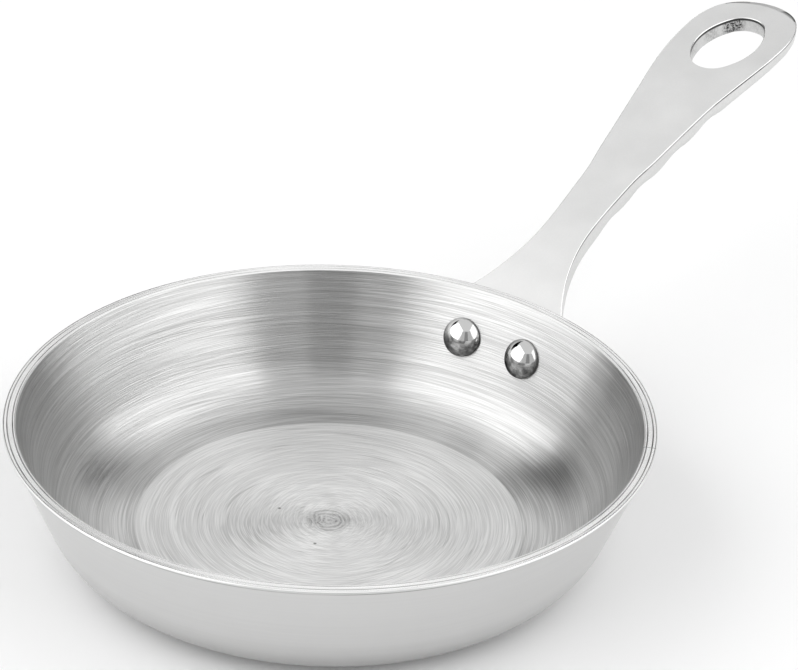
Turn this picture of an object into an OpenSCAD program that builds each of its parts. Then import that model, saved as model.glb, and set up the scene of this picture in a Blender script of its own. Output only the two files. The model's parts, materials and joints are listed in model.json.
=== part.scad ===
// A small riveted frying pan in clad sheet metal.
// A dish is pressed from one bonded sheet: a steel cooking face, an aluminium
// core and a steel outside. A cast steel handle is riveted to its wall.
// Millimetres and degrees. The origin is the centre of the base on the table,
// +Z is up and the handle points along +X.

/* [Pan dish] */
// Diameter over the lip
rim_diameter = 140; // [125:1:200]
// Height of the rim above the table
pan_height = 30; // [29:0.2:45]
// Lean of the wall away from upright, in degrees
wall_lean = 21.4; // [16:0.1:25]
// Outside radius of the turn from the base to the wall
corner_radius = 16; // [10:0.5:18.5]
// Thickness of the steel cooking face
inner_ply_thickness = 0.55; // [0.3:0.05:0.8]
// Thickness of the aluminium core
core_ply_thickness = 1.1; // [0.8:0.1:2.5]
// Thickness of the steel outside
outer_ply_thickness = 0.55; // [0.4:0.05:0.8]
// How far the lip stands out past the line of the wall
lip_overhang = 0.35; // [0.2:0.05:0.5]
// Radius of the round bead that finishes the lip
lip_bead_radius = 0.6; // [0.45:0.05:0.8]
// Width of the bevel on the rim's inside edge
rim_edge_bevel = 0.25; // [0.1:0.05:0.4]

/* [Handle in side view] */
// Reach of the handle past the rim
handle_reach = 117; // [110:1:150]
// Thickness of the handle's bar at the pan
root_thickness = 6.3; // [5.4:0.1:7]
// Thickness of the handle's bar at the eye
eye_thickness = 4.2; // [4.2:0.1:5]
// How far below the rim the handle's top face meets the lip's radius
root_drop = 3; // [2:0.1:3.5]
// Slope of the top face where it leaves the pan
root_slope = 31; // [28:1:34]
// Slope of the top face along the grip
grip_slope = 21.2; // [19:0.1:24]
// Slope of the top face at the eye
eye_slope = 11.8; // [6:0.1:14]
// Radius of the bend above the root
root_bend_radius = 215; // [180:5:270]
// Straight run between the two bends, measured along the table
grip_run = 31; // [24:1:33]
// Radius of the bend before the eye
eye_bend_radius = 175; // [100:5:190]

/* [Handle in plan] */
// Width of the handle's root against the wall
root_width = 32.4; // [31:0.2:36]
// Radius of the hollow flare from the neck to the root
flare_radius = 40.2; // [32:0.2:43]
// How far inside the lip's radius the flare reaches its full width
flare_end_inset = 2.7; // [1.5:0.1:4]
// How far each side of the root spreads on its way down to the flange
root_spread = 0.8; // [0:0.1:1.5]
// Width of the neck, the narrowest place
neck_width = 11.7; // [10:0.1:14]
// Distance of the neck past the rim
neck_place = 27.6; // [26:0.1:32]
// Greatest width of the head round the eye
head_width = 28; // [25:0.2:32]
// Distance from the widest place to the tip
nose_length = 18.2; // [16:0.2:21]

/* [Handle edges] */
// Radius on the edges of the top face
top_edge_radius = 0.4; // [0.2:0.1:0.8]
// Radius on the top face's edge at the tip
nose_edge_radius = 1.4; // [1:0.1:1.6]
// Radius on the edges of the underside
bottom_edge_radius = 2.5; // [1.2:0.1:2.6]
// Number of finger grooves on the underside
groove_count = 4; // [1:1:5]
// Distance from one finger groove to the next
groove_pitch = 12.3; // [10:0.1:14]
// Depth of a finger groove
groove_depth = 0.7; // [0.2:0.1:1]
// Distance of the first finger groove past the rim
groove_start = 33; // [30:1:40]

/* [Hanging eye] */
// Length of the eye along the handle
eye_length = 25.6; // [20:0.2:27]
// Width of the eye
eye_width = 15.9; // [12.5:0.1:17]
// Radius of the eye's two ends
eye_end_radius = 5.8; // [5:0.1:6.1]
// Distance from the eye's centre to the tip
eye_to_tip = 21.5; // [19.5:0.1:24]

/* [Riveted flange] */
// Thickness of the flange that lies on the wall
flange_thickness = 3; // [2.5:0.1:3.6]
// Height of the flange's foot above the table
flange_foot = 12.2; // [11:0.1:12.6]
// How far below the rim the flange's top edge lies
flange_drop = 3.4; // [2.8:0.1:4.5]
// Radius of the flange's corners
flange_corner_radius = 5; // [3:0.5:6]
// Radius of the hollow under the handle where it joins the flange
root_fillet_radius = 4; // [2:0.1:5]

/* [Rivets] */
// Distance between the two rivets' axes on the cooking face
rivet_spacing = 16.9; // [14:0.1:20]
// Depth of the rivets' axes below the rim on the cooking face
rivet_drop = 11; // [9.5:0.1:12]
// Diameter of a rivet's shank
shank_diameter = 5; // [4:0.1:6]
// Diameter of the polished head inside the pan
head_diameter = 9.2; // [7.5:0.1:10]
// Height of the straight edge under the inside head's dome
head_edge_height = 0.7; // [0.3:0.1:1.2]
// Height of the inside head's dome above that edge
head_dome_height = 2.6; // [1.5:0.1:3.5]
// Diameter of the formed head on the flange
tail_diameter = 8.2; // [7:0.1:9]
// Height of the formed head above its seat
tail_height = 1.7; // [1:0.1:2.5]
// Depth of the flat seat that is cut in the flange under a formed head
tail_seat_depth = 0.4; // [0.3:0.05:0.6]
// Gap all round between a shank and its hole
shank_clearance = 0.05; // [0.02:0.01:0.2]
// Gap all round between a formed head and the side of its seat
seat_clearance = 0.3; // [0.2:0.05:0.5]

/* [Hidden] */
$fn = 160;

// Sides of the small circles
small_sides = 64;
// How far every cut runs past the face that it opens
overrun = 1;

// Dish
rim_radius = rim_diameter / 2;
wall_radius = rim_radius - lip_overhang;
wall_slope = 90 - wall_lean;
core_depth = outer_ply_thickness + core_ply_thickness;
sheet_thickness = core_depth + inner_ply_thickness;
base_radius = wall_radius - pan_height * tan(wall_lean) - corner_radius * tan(wall_slope / 2);

// Radius in the rim's plane of the surface that lies a given depth into the sheet
function radius_at_rim(depth) = wall_radius - depth / cos(wall_lean);

// Handle: places along X and the height of the root
root_x = rim_radius;
tip_x = root_x + handle_reach;
widest_x = tip_x - nose_length;
neck_x = root_x + neck_place;
eye_x = tip_x - eye_to_tip;
root_z = pan_height - root_drop;
buried_x = root_x - root_width / 2;

// Rise over a distance along the table on an arc that starts at a slope and bends down
function arc_rise(distance, slope, radius) =
    radius * (cos(asin(sin(slope) - distance / radius)) - cos(slope));

// Handle: the two bends of the top face
bend_one_end = root_x + root_bend_radius * (sin(root_slope) - sin(grip_slope));
bend_two_start = bend_one_end + grip_run;
bend_two_end = bend_two_start + eye_bend_radius * (sin(grip_slope) - sin(eye_slope));
bend_one_z = root_z + arc_rise(bend_one_end - root_x, root_slope, root_bend_radius);
bend_two_z = bend_one_z + grip_run * tan(grip_slope);
eye_run_z = bend_two_z + arc_rise(bend_two_end - bend_two_start, grip_slope, eye_bend_radius);

// Height of the top face above the table
function top_z(x) =
    x < root_x ? root_z + (x - root_x) * tan(root_slope) :
    x < bend_one_end ? root_z + arc_rise(x - root_x, root_slope, root_bend_radius) :
    x < bend_two_start ? bend_one_z + (x - bend_one_end) * tan(grip_slope) :
    x < bend_two_end ? bend_two_z + arc_rise(x - bend_two_start, grip_slope, eye_bend_radius) :
    eye_run_z + (x - bend_two_end) * tan(eye_slope);

// Slope of the top face
function slope_at(x) =
    x < root_x ? root_slope :
    x < bend_one_end ? asin(sin(root_slope) - (x - root_x) / root_bend_radius) :
    x < bend_two_start ? grip_slope :
    x < bend_two_end ? asin(sin(grip_slope) - (x - bend_two_start) / eye_bend_radius) :
    eye_slope;

// Handle: the flare is one arc from the neck's side to the root's
flare_turn = acos(1 - (root_width - neck_width) / 2 / flare_radius);
flare_end_x = root_x - flare_end_inset;
flare_start_x = flare_end_x + flare_radius * sin(flare_turn);

// Spread of the bar's side at its foot, which grows from the flare's start to the root
function spread_at(x) =
    root_spread * min(max((flare_start_x - x) / (flare_start_x - flare_end_x), 0), 1) ^ 2;

// Growth of the grip from the neck's width to the head's, at even steps between them
growth_shares = [0, 0.04, 0.095, 0.23, 0.34, 0.46, 0.58, 0.735, 0.87, 0.965, 1];
// Roundness of the nose: 2 is an ellipse and more is squarer
nose_power = 2.25;

// Smooth curve through values at even steps
function curve_share(shares, part) =
    let (
        last = len(shares) - 1,
        place = min(max(part, 0), 1) * last,
        step = min(floor(place), last - 1),
        f = place - step,
        a = shares[max(step - 1, 0)],
        b = shares[step],
        c = shares[step + 1],
        d = shares[min(step + 2, last)]
    )
    b + f * (c - a + f * (2 * a - 5 * b + 4 * c - d + f * (3 * (b - c) + d - a))) / 2;

// Half of the handle's width between the root and the widest place
function half_width(x) =
    x < flare_end_x ? root_width / 2 :
    x < flare_start_x ? neck_width / 2 + flare_radius - sqrt(flare_radius ^ 2 - (flare_start_x - x) ^ 2) :
    neck_width / 2 + (head_width - neck_width) / 2
        * curve_share(growth_shares, (x - neck_x) / (widest_x - neck_x));

// The outline's left side in plan, from the buried end to the tip
body_steps = 56;
nose_steps = 14;
outline = concat(
    [for (i = [0 : body_steps - 1])
        let (x = buried_x + (widest_x - buried_x) * i / body_steps)
        [x, half_width(x)]],
    [for (i = [0 : nose_steps])
        let (turn = 90 * i / nose_steps)
        [
            widest_x + nose_length * sin(turn) ^ (2 / nose_power),
            i == nose_steps ? 0 : head_width / 2 * cos(turn) ^ (2 / nose_power)
        ]]
);
tip_index = len(outline) - 1;

// Direction out of the outline's side at a point
function outward(i) =
    let (run = i == tip_index ? [0, -1] : outline[i + 1] - outline[max(i - 1, 0)])
    [-run[1], run[0]] / norm(run);

// Thickness of the bar, square to its top face, before the grooves
function thickness_at(x) =
    root_thickness + (eye_thickness - root_thickness) * min(max((x - root_x) / (widest_x - root_x), 0), 1);

// Depth of the finger grooves along the underside
function groove_at(x) =
    let (turns = (x - root_x - groove_start) / groove_pitch)
    turns > -0.5 && turns < groove_count - 0.5 ? groove_depth * (1 + cos(360 * turns)) / 2 : 0;

// Corner where the line of the underside would meet the flange's face
flange_rim_x = radius_at_rim(-flange_thickness);
under_drop = root_drop + root_x * tan(root_slope) + root_thickness / cos(root_slope);
corner_x = (flange_rim_x - under_drop * tan(wall_lean)) / (1 - tan(root_slope) * tan(wall_lean));
corner_z = pan_height - (flange_rim_x - corner_x) / tan(wall_lean);

// The hollow in that corner is an arc that touches both lines
corner_opening = root_slope + 90 + wall_lean;
corner_aim = (root_slope - 90 - wall_lean) / 2;
hollow_reach = root_fillet_radius / sin(corner_opening / 2);
hollow_x = corner_x + hollow_reach * cos(corner_aim);
hollow_z = corner_z + hollow_reach * sin(corner_aim);
touch_length = root_fillet_radius / tan(corner_opening / 2);
hollow_start_x = corner_x - touch_length * sin(wall_lean);
hollow_end_x = corner_x + touch_length * cos(root_slope);

// Depth of the underside below the top face, measured upright
function depth_at(x) =
    let (place = max(x, hollow_start_x))
    x > hollow_end_x
        ? (thickness_at(x) - groove_at(x)) / cos(slope_at(x))
        : top_z(place) - hollow_z - sqrt(root_fillet_radius ^ 2 - (place - hollow_x) ^ 2);

// Radius of the top face's edge, which grows towards the tip
function top_radius_at(x) =
    let (growth = 1 - cos(90 * max(x - widest_x, 0) / nose_length))
    top_edge_radius + (nose_edge_radius - top_edge_radius) * growth;

// One point of the bar's skin: a turn of 90 is on a face and 0 is on the side
function skin_point(i, side, turn, under) =
    let (
        radius = under ? bottom_edge_radius : top_radius_at(outline[i][0]),
        spread = under ? spread_at(outline[i][0]) : 0,
        place = outline[i] + (spread - radius * (1 - cos(turn))) * outward(i),
        edge_drop = radius * (1 - sin(turn)),
        drop = under ? depth_at(place[0]) - edge_drop : edge_drop
    )
    [place[0], side * place[1], top_z(place[0]) - drop];

// One closed ring: out along the left side, round the tip and back along the right side
function ring(turn, under) = concat(
    [for (i = [0 : tip_index]) skin_point(i, 1, turn, under)],
    [for (i = [tip_index - 1 : -1 : 0]) skin_point(i, -1, turn, under)]
);
edge_turns = [0, 30, 60, 90];
last_turn = len(edge_turns) - 1;
bar_points = concat(
    [for (k = [last_turn : -1 : 0]) each ring(edge_turns[k], false)],
    [for (k = [0 : last_turn]) each ring(edge_turns[k], true)]
);

// Faces of the bar: its top, its underside and the bands between the rings
ring_size = 2 * tip_index + 1;
ring_count = 2 * (last_turn + 1);
low = ring_size * (ring_count - 1);
bar_faces = concat(
    [for (j = [0 : tip_index - 2]) [j, j + 1, ring_size - 2 - j, ring_size - 1 - j]],
    [[tip_index - 1, tip_index, tip_index + 1]],
    [for (j = [0 : tip_index - 2]) [low + ring_size - 1 - j, low + ring_size - 2 - j, low + j + 1, low + j]],
    [[low + tip_index + 1, low + tip_index, low + tip_index - 1]],
    [for (k = [0 : ring_count - 2], j = [0 : ring_size - 1], half = [0, 1])
        let (
            a = k * ring_size + j,
            b = k * ring_size + (j + 1) % ring_size,
            c = a + ring_size,
            d = b + ring_size
        )
        half == 0 ? [a, c, b] : [b, c, d]]
);

// Eye: an oval of four arcs that touch
eye_end_place = eye_length / 2 - eye_end_radius;
eye_side_radius = ((eye_width / 2) ^ 2 + eye_end_place ^ 2 - eye_end_radius ^ 2)
    / (eye_width - 2 * eye_end_radius);
eye_side_place = eye_side_radius - eye_width / 2;
eye_join_place = eye_side_radius * eye_end_place / (eye_side_radius - eye_end_radius);

// Rivets
rivet_radius = radius_at_rim(sheet_thickness) - rivet_drop * tan(wall_lean);
rivet_turn = asin(rivet_spacing / 2 / rivet_radius);
grip_length = sheet_thickness + flange_thickness - tail_seat_depth;

// Half section of all that lies inside the surface a given depth into the sheet
module bowl_section(depth, extra = 0) {
    turn_radius = corner_radius - depth;
    intersection() {
        union() {
            polygon([
                [0, depth],
                [base_radius, depth],
                [base_radius + turn_radius * sin(wall_slope), corner_radius - turn_radius * cos(wall_slope)],
                [radius_at_rim(depth) + extra * tan(wall_lean), pan_height + extra],
                [0, pan_height + extra]
            ]);
            translate([base_radius, corner_radius])
                circle(r = turn_radius);
        }
        translate([0, depth])
            square([rim_diameter, pan_height + extra - depth]);
    }
}

// Half section of the metal between two depths
module ply_section(near, far) {
    difference() {
        bowl_section(near);
        bowl_section(far, overrun);
    }
}

// What the bevel takes off the rim's inside corner
module rim_edge_waste() {
    corner = [radius_at_rim(sheet_thickness), pan_height];
    tilt = wall_slope / 2;
    along = [cos(tilt), sin(tilt)];
    on_top = corner + [rim_edge_bevel, 0];
    on_wall = corner - rim_edge_bevel * [sin(wall_lean), cos(wall_lean)];
    polygon([
        on_top + overrun * along,
        on_wall - overrun * along,
        corner + overrun * [-along[1], along[0]]
    ]);
}

// Puts its children on the cooking face at a rivet, with +Z out through the wall
module at_rivet(side) {
    rotate([0, 0, side * rivet_turn])
        translate([rivet_radius, 0, pan_height - rivet_drop])
            rotate([0, 90 + wall_lean, 0])
                children();
}

// The two holes that the shanks go through
module rivet_holes() {
    for (side = [-1, 1])
        at_rivet(side)
            translate([0, 0, -overrun])
                cylinder(
                    h = sheet_thickness + flange_thickness + 2 * overrun,
                    d = shank_diameter + 2 * shank_clearance,
                    $fn = small_sides
                );
}

module inner_ply() {
    color("gainsboro")
        difference() {
            rotate_extrude()
                difference() {
                    ply_section(core_depth, sheet_thickness);
                    rim_edge_waste();
                }
            rivet_holes();
        }
}

module core_ply() {
    color("silver")
        difference() {
            rotate_extrude()
                ply_section(outer_ply_thickness, core_depth);
            rivet_holes();
        }
}

module outer_ply() {
    color("lightgray")
        difference() {
            rotate_extrude()
                difference() {
                    union() {
                        bowl_section(0);
                        translate([rim_radius - lip_bead_radius, pan_height - lip_bead_radius])
                            circle(r = lip_bead_radius, $fn = small_sides);
                    }
                    bowl_section(outer_ply_thickness, overrun);
                }
            rivet_holes();
        }
}

// The flange's outline seen along the handle, with round corners
module flange_outline() {
    foot = flange_foot + flange_corner_radius;
    top = pan_height - flange_drop - flange_corner_radius;
    width = root_width + 2 * root_spread;
    side = width / 2 - flange_corner_radius;
    union() {
        translate([-side, flange_foot])
            square([2 * side, pan_height - flange_drop - flange_foot]);
        translate([-width / 2, foot])
            square([width, top - foot]);
        for (y = [-side, side], z = [foot, top])
            translate([y, z])
                circle(r = flange_corner_radius, $fn = small_sides);
    }
}

// The flange: a layer on the wall's outside, trimmed to its outline
module flange() {
    intersection() {
        rotate_extrude()
            ply_section(-flange_thickness, 0);
        rotate([90, 0, 90])
            linear_extrude(rim_diameter)
                flange_outline();
    }
}

// The eye's oval, with its length along X
module eye_outline() {
    union() {
        for (side = [-1, 1])
            translate([side * eye_end_place, 0])
                circle(r = eye_end_radius, $fn = small_sides);
        intersection() {
            translate([0, -eye_side_place])
                circle(r = eye_side_radius);
            translate([0, eye_side_place])
                circle(r = eye_side_radius);
            translate([-eye_join_place, -eye_width])
                square([2 * eye_join_place, 2 * eye_width]);
        }
    }
}

module handle() {
    color("gainsboro")
        difference() {
            union() {
                polyhedron(bar_points, bar_faces, convexity = 6);
                flange();
            }
            rotate_extrude()
                bowl_section(0, overrun);
            rivet_holes();
            for (side = [-1, 1])
                at_rivet(side)
                    translate([0, 0, grip_length])
                        cylinder(
                            h = tail_height + overrun,
                            d = tail_diameter + 2 * seat_clearance,
                            $fn = small_sides
                        );
            translate([eye_x, 0, top_z(eye_x)])
                rotate([0, -eye_slope, 0])
                    translate([0, 0, -root_thickness])
                        linear_extrude(root_thickness + overrun)
                            eye_outline();
        }
}

// A domed head that stands on Z = 0: a straight edge with part of a ball on it
module domed_head(diameter, edge_height, dome_height) {
    ball_radius = ((diameter / 2) ^ 2 + dome_height ^ 2) / 2 / dome_height;
    rotate_extrude($fn = small_sides)
        intersection() {
            translate([0, edge_height + dome_height - ball_radius])
                circle(r = ball_radius);
            square([diameter / 2, edge_height + dome_height]);
        }
}

module rivet(side) {
    color("whitesmoke")
        union() {
            difference() {
                at_rivet(side)
                    translate([0, 0, sheet_thickness])
                        mirror([0, 0, 1])
                            domed_head(head_diameter, head_edge_height + sheet_thickness, head_dome_height);
                rotate_extrude()
                    ply_section(-overrun, sheet_thickness);
            }
            at_rivet(side)
                translate([0, 0, -head_edge_height])
                    cylinder(h = grip_length + head_edge_height, d = shank_diameter, $fn = small_sides);
            at_rivet(side)
                translate([0, 0, grip_length])
                    domed_head(tail_diameter, 0, tail_height);
        }
}

module rivet_left() {
    rivet(1);
}

module rivet_right() {
    rivet(-1);
}

inner_ply();
core_ply();
outer_ply();
handle();
rivet_left();
rivet_right();
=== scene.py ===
# %% [markdown]
# # A small clad frying pan
# This lesson dresses a finished solid model of a frying pan. The pan is pressed from
# a sheet of steel, aluminium and steel, turned bright inside, and a cast steel handle
# is riveted to its wall. The solids come first, because every piece of the picture
# has to sit exactly where the solid model says.

# %% Load the solid model
import json
from math import acos, asin, atan2, cos, degrees, pi, radians, sin, sqrt, tan

import bmesh
import bpy
from mathutils import Matrix, Vector

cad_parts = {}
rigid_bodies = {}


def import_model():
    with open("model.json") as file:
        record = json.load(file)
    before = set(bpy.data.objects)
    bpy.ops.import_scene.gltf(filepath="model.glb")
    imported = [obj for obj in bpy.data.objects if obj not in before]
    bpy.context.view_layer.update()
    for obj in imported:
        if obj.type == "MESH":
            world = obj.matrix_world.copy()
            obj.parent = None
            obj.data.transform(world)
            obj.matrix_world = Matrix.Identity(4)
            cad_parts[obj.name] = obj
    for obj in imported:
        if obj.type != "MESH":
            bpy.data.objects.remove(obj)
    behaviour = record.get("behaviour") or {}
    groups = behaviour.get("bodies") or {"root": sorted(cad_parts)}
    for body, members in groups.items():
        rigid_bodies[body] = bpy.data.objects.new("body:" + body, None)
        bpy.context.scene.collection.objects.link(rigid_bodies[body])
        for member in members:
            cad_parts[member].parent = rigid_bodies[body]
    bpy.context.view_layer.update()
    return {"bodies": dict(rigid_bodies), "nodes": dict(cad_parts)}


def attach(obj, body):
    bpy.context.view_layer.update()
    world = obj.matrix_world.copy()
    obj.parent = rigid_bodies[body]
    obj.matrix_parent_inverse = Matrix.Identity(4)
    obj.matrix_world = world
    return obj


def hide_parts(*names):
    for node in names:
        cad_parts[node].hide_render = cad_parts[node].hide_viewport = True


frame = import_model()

NODES = frame["nodes"]
BODY = sorted(frame["bodies"])[0]
MM = 0.001
print("pieces:", sorted(NODES), "on body", BODY)

# %% [markdown]
# ## The camera
# The photograph looks down on the pan from a little under thirty degrees, with the
# handle running away to the upper right. The camera's place, aim and lens were found
# by matching the rim, the floor and the handle's outline, so they are plain numbers.

# %% Place the camera
CAMERA_PLACE = Vector((-390.256, -289.945, 308.755)) * MM
CAMERA_RIGHT = Vector((0.586539, -0.809312, 0.031394))
CAMERA_UP = Vector((0.365736, 0.299250, 0.881298))
CAMERA_LENS = 117.607
SENSOR_WIDTH = 36

camera = bpy.data.objects.new("camera", bpy.data.cameras.new("camera"))
bpy.context.scene.collection.objects.link(camera)
back = CAMERA_RIGHT.cross(CAMERA_UP)
aim = Matrix((CAMERA_RIGHT, CAMERA_UP, back)).transposed().to_4x4()
camera.matrix_world = Matrix.Translation(CAMERA_PLACE) @ aim
camera.data.lens = CAMERA_LENS
camera.data.sensor_width = SENSOR_WIDTH
camera.data.clip_start = 0.01
bpy.context.scene.camera = camera
print("camera looks down by", round(degrees(asin(back.z)), 1), "degrees")

# %% [markdown]
# ## The dish's measures
# The dish is a shallow cone on a round corner and a flat base. The solid model could be
# shown as it is, but the picture needs finer curves and crisper edges, so each piece is
# built again here in millimetres, from the measures that shape the solid.

# %% Measures of the dish
RIM_RADIUS = 70
RIM_HEIGHT = 30
WALL_LEAN = radians(21.4)
CORNER_RADIUS = 16
SHEET = 2.2
OUTER_JOINT, INNER_JOINT = 0.55, 1.65
LIP_OUT = 0.35
WALL_RADIUS = RIM_RADIUS - LIP_OUT
CORNER_RUN = CORNER_RADIUS * tan((pi / 2 - WALL_LEAN) / 2)
BASE_RADIUS = WALL_RADIUS - RIM_HEIGHT * tan(WALL_LEAN) - CORNER_RUN
print("flat base is", round(2 * BASE_RADIUS, 1), "mm across")

# %% [markdown]
# ## The handle's measures
# The handle is one casting that reaches 117 mm past the rim. Its measures are named
# here once, because the outline, the top face and the underside have to agree on them.

# %% Measures of the handle
REACH = 117
TIP_X = RIM_RADIUS + REACH
NOSE = 18.2
WIDEST_X = TIP_X - NOSE
ROOT_Z = RIM_HEIGHT - 3
ROOT_SLOPE, GRIP_SLOPE, EYE_SLOPE = radians(31), radians(21.2), radians(11.8)
BEND_ONE, GRIP_RUN, BEND_TWO = 215, 31, 175
ROOT_WIDTH, NECK_WIDTH, HEAD_WIDTH = 32.4, 11.7, 28
NECK_X = RIM_RADIUS + 27.6
FLARE_RADIUS = 40.2
FLARE_END = RIM_RADIUS - 2.7
ROOT_SPREAD = 0.8
ROOT_THICK, EYE_THICK = 6.3, 4.2
TOP_EDGE, UNDER_EDGE = 0.3, 2.5
print("widest at", round(WIDEST_X, 1), "mm from the pan's axis")

# %% [markdown]
# ## The line of the handle's top
# From the side, the handle leaves the rim steeply and bends down twice. One free curve
# could draw it, but straight runs joined by arcs give its slope exactly at every point.

# %% Height and slope of the top


def arc_rise(run, slope, radius):
    """Rise along an arc that starts at a slope and bends down."""
    return radius * (cos(asin(sin(slope) - run / radius)) - cos(slope))


BEND_ONE_END = RIM_RADIUS + BEND_ONE * (sin(ROOT_SLOPE) - sin(GRIP_SLOPE))
BEND_TWO_START = BEND_ONE_END + GRIP_RUN
BEND_TWO_END = BEND_TWO_START + BEND_TWO * (sin(GRIP_SLOPE) - sin(EYE_SLOPE))
BEND_ONE_Z = ROOT_Z + arc_rise(BEND_ONE_END - RIM_RADIUS, ROOT_SLOPE, BEND_ONE)
BEND_TWO_Z = BEND_ONE_Z + GRIP_RUN * tan(GRIP_SLOPE)
EYE_RUN_Z = BEND_TWO_Z + arc_rise(BEND_TWO_END - BEND_TWO_START, GRIP_SLOPE, BEND_TWO)


def top_z(x):
    """Height of the handle's top face."""
    if x < RIM_RADIUS:
        return ROOT_Z + (x - RIM_RADIUS) * tan(ROOT_SLOPE)
    if x < BEND_ONE_END:
        return ROOT_Z + arc_rise(x - RIM_RADIUS, ROOT_SLOPE, BEND_ONE)
    if x < BEND_TWO_START:
        return BEND_ONE_Z + (x - BEND_ONE_END) * tan(GRIP_SLOPE)
    if x < BEND_TWO_END:
        return BEND_TWO_Z + arc_rise(x - BEND_TWO_START, GRIP_SLOPE, BEND_TWO)
    return EYE_RUN_Z + (x - BEND_TWO_END) * tan(EYE_SLOPE)


def slope_at(x):
    """Slope of the handle's top face."""
    if x < RIM_RADIUS:
        return ROOT_SLOPE
    if x < BEND_ONE_END:
        return asin(sin(ROOT_SLOPE) - (x - RIM_RADIUS) / BEND_ONE)
    if x < BEND_TWO_START:
        return GRIP_SLOPE
    if x < BEND_TWO_END:
        return asin(sin(GRIP_SLOPE) - (x - BEND_TWO_START) / BEND_TWO)
    return EYE_SLOPE


print("top of the handle at the tip:", round(top_z(TIP_X), 1), "mm up")

# %% [markdown]
# ## The handle's outline
# Seen from above, the handle swells from a narrow neck to a round head, and flares in
# a hollow curve to its root. A smooth curve through a few widths gives the swelling,
# one arc gives the flare, and a squared-off ellipse gives the nose.

# %% Width along the handle
GROWTH = [0, 0.04, 0.095, 0.23, 0.34, 0.46, 0.58, 0.735, 0.87, 0.965, 1]
FLARE_TURN = acos(1 - (ROOT_WIDTH - NECK_WIDTH) / 2 / FLARE_RADIUS)
FLARE_START = FLARE_END + FLARE_RADIUS * sin(FLARE_TURN)


def curve_share(shares, part):
    """Smooth curve through values at even steps."""
    last = len(shares) - 1
    place = min(max(part, 0), 1) * last
    step = min(int(place), last - 1)
    f = place - step
    a, b = shares[max(step - 1, 0)], shares[step]
    c, d = shares[step + 1], shares[min(step + 2, last)]
    return b + f * (c - a + f * (2 * a - 5 * b + 4 * c - d + f * (3 * (b - c) + d - a))) / 2


def half_width(x):
    """Half of the handle's width from the root to the widest place."""
    if x < FLARE_END:
        return ROOT_WIDTH / 2
    if x < FLARE_START:
        return NECK_WIDTH / 2 + FLARE_RADIUS - sqrt(FLARE_RADIUS ** 2 - (FLARE_START - x) ** 2)
    grown = curve_share(GROWTH, (x - NECK_X) / (WIDEST_X - NECK_X))
    return NECK_WIDTH / 2 + (HEAD_WIDTH - NECK_WIDTH) / 2 * grown


print("neck is", round(2 * half_width(NECK_X), 1), "mm wide")

# %% Walk along one side
BURIED_X = RIM_RADIUS - ROOT_WIDTH / 2
BODY_STEPS, NOSE_STEPS = 150, 40
NOSE_POWER = 2.25
outline = []
for i in range(BODY_STEPS):
    x = BURIED_X + (WIDEST_X - BURIED_X) * i / BODY_STEPS
    outline.append((x, half_width(x), 0.0))
for i in range(NOSE_STEPS + 1):
    t = pi / 2 * i / NOSE_STEPS
    y = 0 if i == NOSE_STEPS else HEAD_WIDTH / 2 * cos(t) ** (2 / NOSE_POWER)
    outline.append((WIDEST_X + NOSE * sin(t) ** (2 / NOSE_POWER), y, t))
TIP = len(outline) - 1


def outward(i):
    """Direction out of the outline's left side."""
    if i == TIP:
        return 1.0, 0.0
    ax, ay, _ = outline[max(i - 1, 0)]
    bx, by, _ = outline[i + 1]
    run = sqrt((bx - ax) ** 2 + (by - ay) ** 2)
    return (ay - by) / run, (bx - ax) / run


print("outline points:", len(outline))

# %% [markdown]
# ## The handle's underside
# Under the grip are four shallow grooves for the fingers, and at the root the casting
# turns down through a hollow corner. Both could be carved later, but as one depth below
# the top face they stay smooth and cost no cuts.

# %% Depth of the underside
GROOVE_START, GROOVE_PITCH, GROOVES, GROOVE_DEPTH = 33, 12.3, 4, 0.7
FLANGE_THICK, HOLLOW = 3, 4


def groove_at(x):
    """How deep a finger groove is cut at a place along the grip."""
    turns = (x - RIM_RADIUS - GROOVE_START) / GROOVE_PITCH
    inside = -0.5 < turns < GROOVES - 0.5
    return GROOVE_DEPTH * (1 + cos(2 * pi * turns)) / 2 if inside else 0


flange_rim = WALL_RADIUS + FLANGE_THICK / cos(WALL_LEAN)
root_depth = ROOT_THICK / cos(ROOT_SLOPE)
under_drop = RIM_HEIGHT - ROOT_Z + RIM_RADIUS * tan(ROOT_SLOPE) + root_depth
corner_x = flange_rim - under_drop * tan(WALL_LEAN)
corner_x = corner_x / (1 - tan(ROOT_SLOPE) * tan(WALL_LEAN))
corner_z = RIM_HEIGHT - (flange_rim - corner_x) / tan(WALL_LEAN)
opening = ROOT_SLOPE + pi / 2 + WALL_LEAN
middle = (ROOT_SLOPE - pi / 2 - WALL_LEAN) / 2
hollow_x = corner_x + HOLLOW / sin(opening / 2) * cos(middle)
hollow_z = corner_z + HOLLOW / sin(opening / 2) * sin(middle)
hollow_start = corner_x - HOLLOW / tan(opening / 2) * sin(WALL_LEAN)
hollow_end = corner_x + HOLLOW / tan(opening / 2) * cos(ROOT_SLOPE)


def depth_at(x):
    """Depth of the underside below the top face, measured upright."""
    if x > hollow_end:
        part = min(max((x - RIM_RADIUS) / (WIDEST_X - RIM_RADIUS), 0), 1)
        thick = ROOT_THICK + (EYE_THICK - ROOT_THICK) * part
        return (thick - groove_at(x)) / cos(slope_at(x))
    x = max(x, hollow_start)
    return top_z(x) - hollow_z - sqrt(HOLLOW ** 2 - (x - hollow_x) ** 2)


print("hollow corner ends", round(hollow_end - RIM_RADIUS, 1), "mm past the rim")

# %% [markdown]
# ## The handle's skin
# The bar is a stack of closed rings that round its crisp top edge and its belly.
# Towards the tip a bevel grows, where the face was dressed by hand. A bevel tool could
# do it, but rings stay even where the outline turns tightly round the nose.

# %% One section of the bar
TIP_BEVEL, TIP_DROP, PLAIN_BEVEL = 1.9, 0.55, 0.03
BEVEL_FROM, BEVEL_OVER = radians(28), radians(50)


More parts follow.
